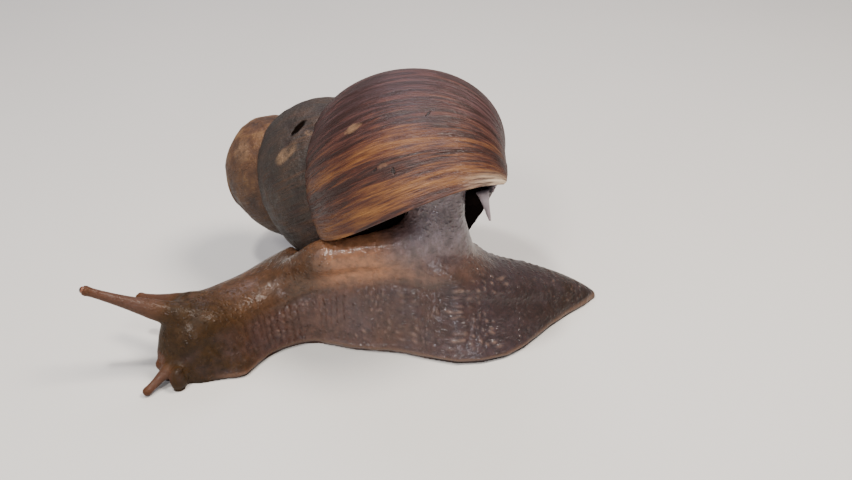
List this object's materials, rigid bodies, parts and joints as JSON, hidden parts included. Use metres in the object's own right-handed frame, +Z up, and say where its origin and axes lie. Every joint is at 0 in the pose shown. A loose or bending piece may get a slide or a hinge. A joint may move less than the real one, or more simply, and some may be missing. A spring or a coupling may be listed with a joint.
{
  "type": "giant african land snail",
  "caption": "Giant African land snail crawling, head stretched forward under its streaked spiral shell, eye feelers out, flat sole on the floor.",
  "frame": {"origin": "a point in the middle of the flat sole, under the back of the foot", "axes": "+Z up from the floor, +X towards the tail, -X the way the head points, +Y away from the side that is seen in front"},
  "size_m": [0.1107, 0.0684, 0.0573],
  "materials": {
    "shell": "dark red-brown and golden streaks along the growth lines, satin, worn pale near the tip",
    "flesh": "wet brown snail flesh with rows of tubercles, glossy",
    "mantle": "smooth wet grey-brown flesh",
    "feeler": "smooth wet brown flesh, slightly translucent",
    "eye": "wet black"
  },
  "bodies": {
    "root": {"shell": "shell", "mantle_collar": "mantle", "stalk": "flesh", "head": "flesh", "neck": "flesh", "foot_front": "flesh", "foot_middle": "flesh", "foot_rear": "flesh", "tail": "flesh", "left_eye_tentacle": "feeler", "right_eye_tentacle": "feeler", "left_lower_tentacle": "feeler", "right_lower_tentacle": "feeler", "left_eye": "eye", "right_eye": "eye"}
  },
  "joints": []
}
